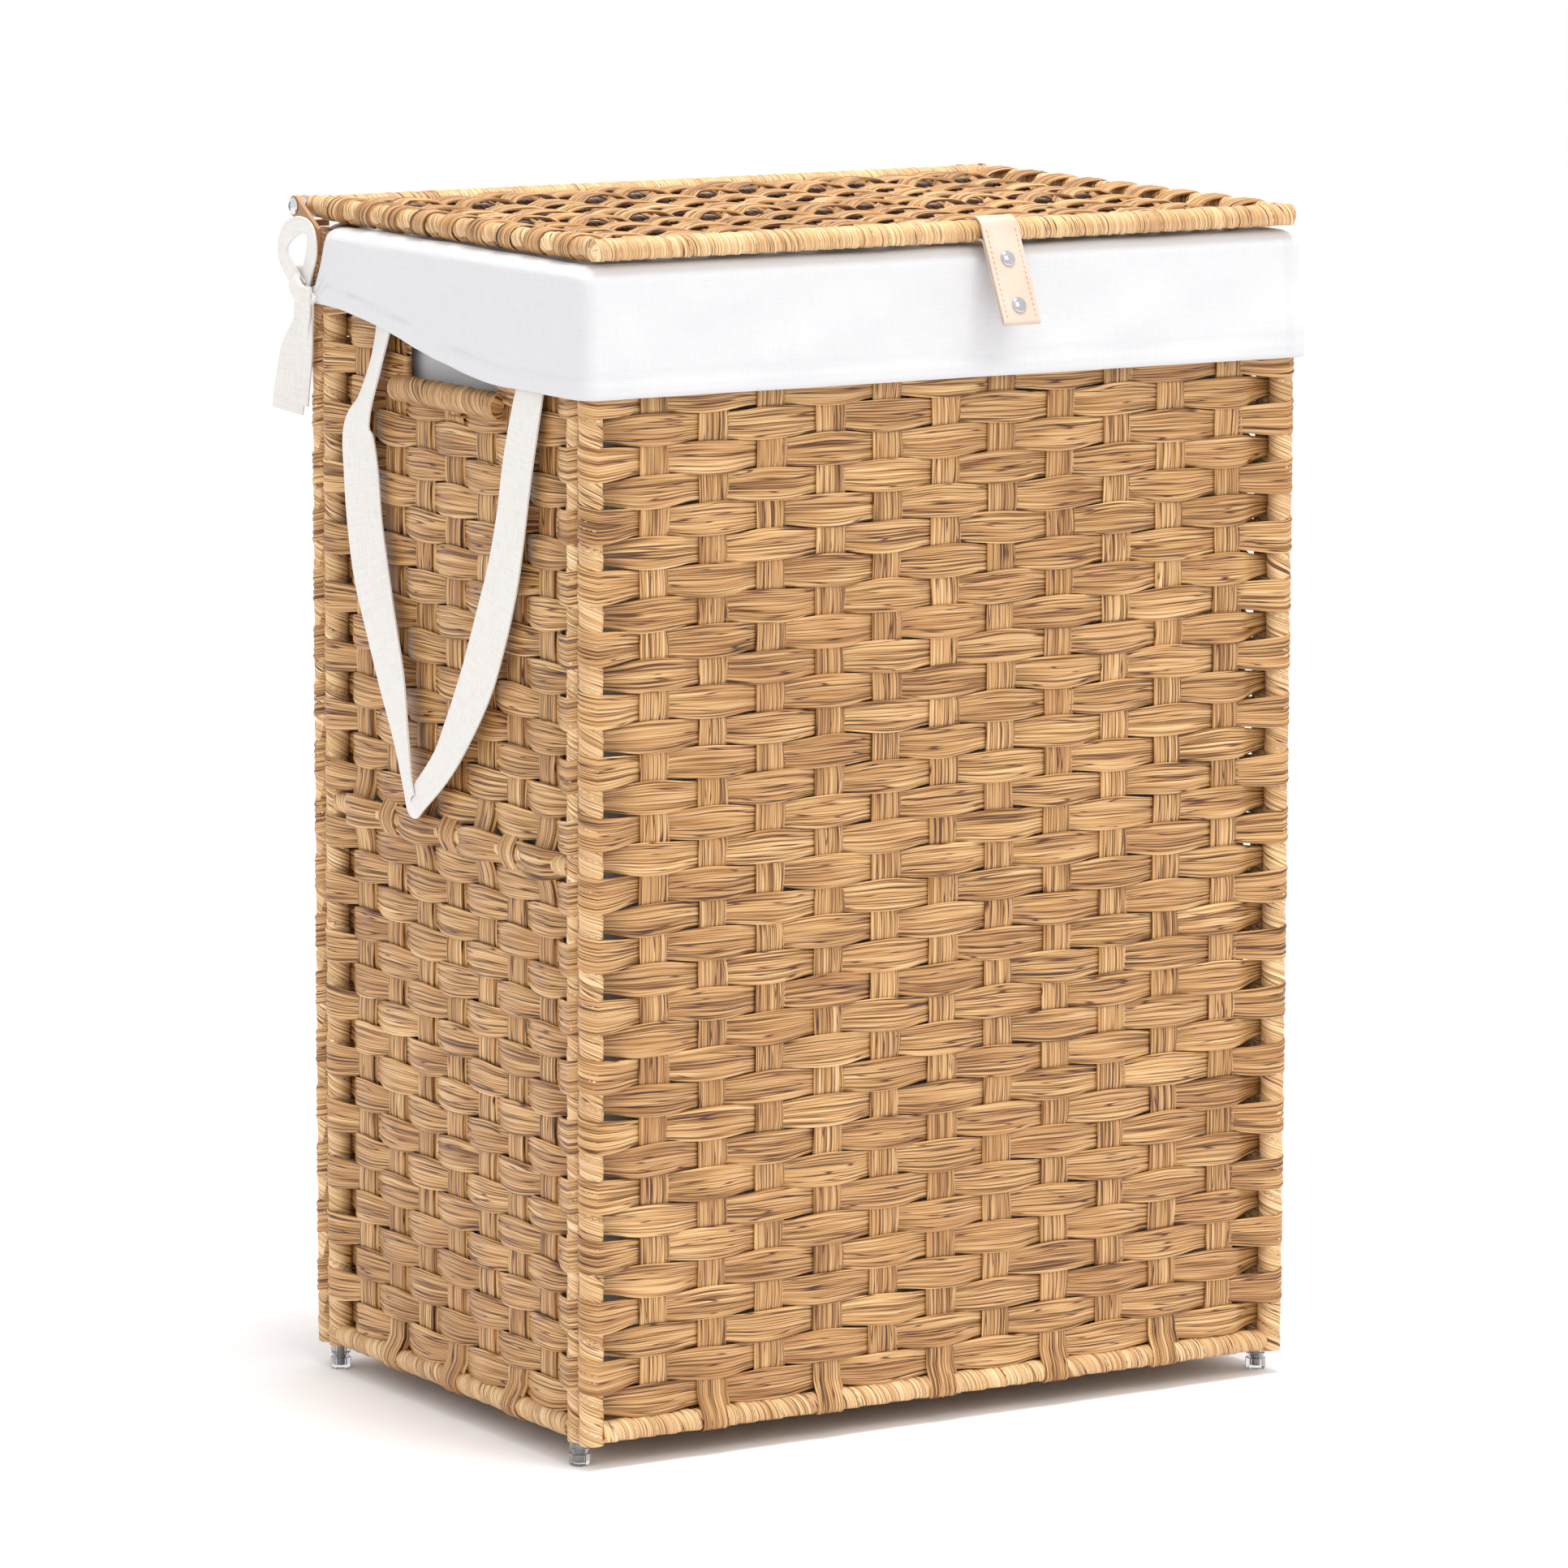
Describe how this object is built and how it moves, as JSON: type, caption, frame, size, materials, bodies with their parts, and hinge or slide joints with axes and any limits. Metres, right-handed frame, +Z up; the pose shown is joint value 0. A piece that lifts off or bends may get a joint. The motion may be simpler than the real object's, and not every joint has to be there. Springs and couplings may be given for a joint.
{
  "type": "laundry hamper",
  "caption": "Upright rectangular laundry hamper of woven flat strand on a tube frame, with hinged woven lid, leather lift tab, cotton liner and carrying straps.",
  "frame": {"origin": "on the floor, under the middle of the body", "axes": "+Z up, -Y is the front with the lift tab, +X is the right-hand side seen from the front"},
  "size_m": [0.4374, 0.3224, 0.5967],
  "materials": {
    "frame_steel": "tan powder coat, satin",
    "strand": "flat fluted polyethylene strand with darker streaks",
    "zinc_screw": "zinc-plated",
    "chrome_fitting": "polished",
    "clear_plastic": "clear, moulded with facets",
    "liner_cotton": "white plain-woven cotton",
    "tape_cotton": "unbleached cotton tape",
    "tab_leather": "smooth nude-beige leather, edge-stitched"
  },
  "bodies": {
    "basket": {"front_frame": "frame_steel", "back_frame": "frame_steel", "left_frame": "frame_steel", "right_frame": "frame_steel", "base_frame": "frame_steel", "hinge_plate_left": "frame_steel", "hinge_plate_right": "frame_steel", "front_binding": "strand", "back_binding": "strand", "left_binding": "strand", "right_binding": "strand", "base_binding": "strand", "front_weave": "strand", "front_stakes": "strand", "back_weave": "strand", "back_stakes": "strand", "base_weave": "strand", "base_stakes": "strand", "left_lower_weave": "strand", "left_lower_stakes": "strand", "left_upper_weave": "strand", "left_upper_stakes": "strand", "left_grip": "strand", "right_lower_weave": "strand", "right_lower_stakes": "strand", "right_upper_weave": "strand", "right_upper_stakes": "strand", "right_grip": "strand", "corner_screws": "zinc_screw", "base_screws": "zinc_screw", "foot_screws": "zinc_screw", "foot_front_left": "clear_plastic", "foot_back_left": "clear_plastic", "foot_front_right": "clear_plastic", "foot_back_right": "clear_plastic", "liner": "liner_cotton", "tie_left": "tape_cotton", "tie_right": "tape_cotton"},
    "lid": {"lid_frame": "frame_steel", "lid_binding": "strand", "lid_weave": "strand", "lid_stakes": "strand", "hinge_screw_left": "chrome_fitting", "hinge_screw_right": "chrome_fitting", "hinge_washer_left": "zinc_screw", "hinge_washer_right": "zinc_screw"},
    "tab": {"tab": "tab_leather", "tab_rivet_upper": "chrome_fitting", "tab_rivet_lower": "chrome_fitting"},
    "strap_left": {"strap_left": "tape_cotton"},
    "strap_right": {"strap_right": "tape_cotton"}
  },
  "joints": [
    {"name": "lid_hinge", "type": "hinge", "parent": "basket", "child": "lid", "pos_m": [0, 0.1506, 0.5896], "axis": [-1, 0, 0], "range_deg": [0, 105]},
    {"name": "tab_swing", "type": "hinge", "parent": "lid", "child": "tab", "pos_m": [0.024, -0.1355, 0.5896], "axis": [-1, 0, 0], "range_deg": [-20, 100]},
    {"name": "strap_left_swing", "type": "hinge", "parent": "basket", "child": "strap_left", "pos_m": [-0.20855, 0, 0.518], "axis": [0, 1, 0], "range_deg": [0, 170]},
    {"name": "strap_right_swing", "type": "hinge", "parent": "basket", "child": "strap_right", "pos_m": [0.20855, 0, 0.518], "axis": [0, -1, 0], "range_deg": [0, 170]}
  ]
}
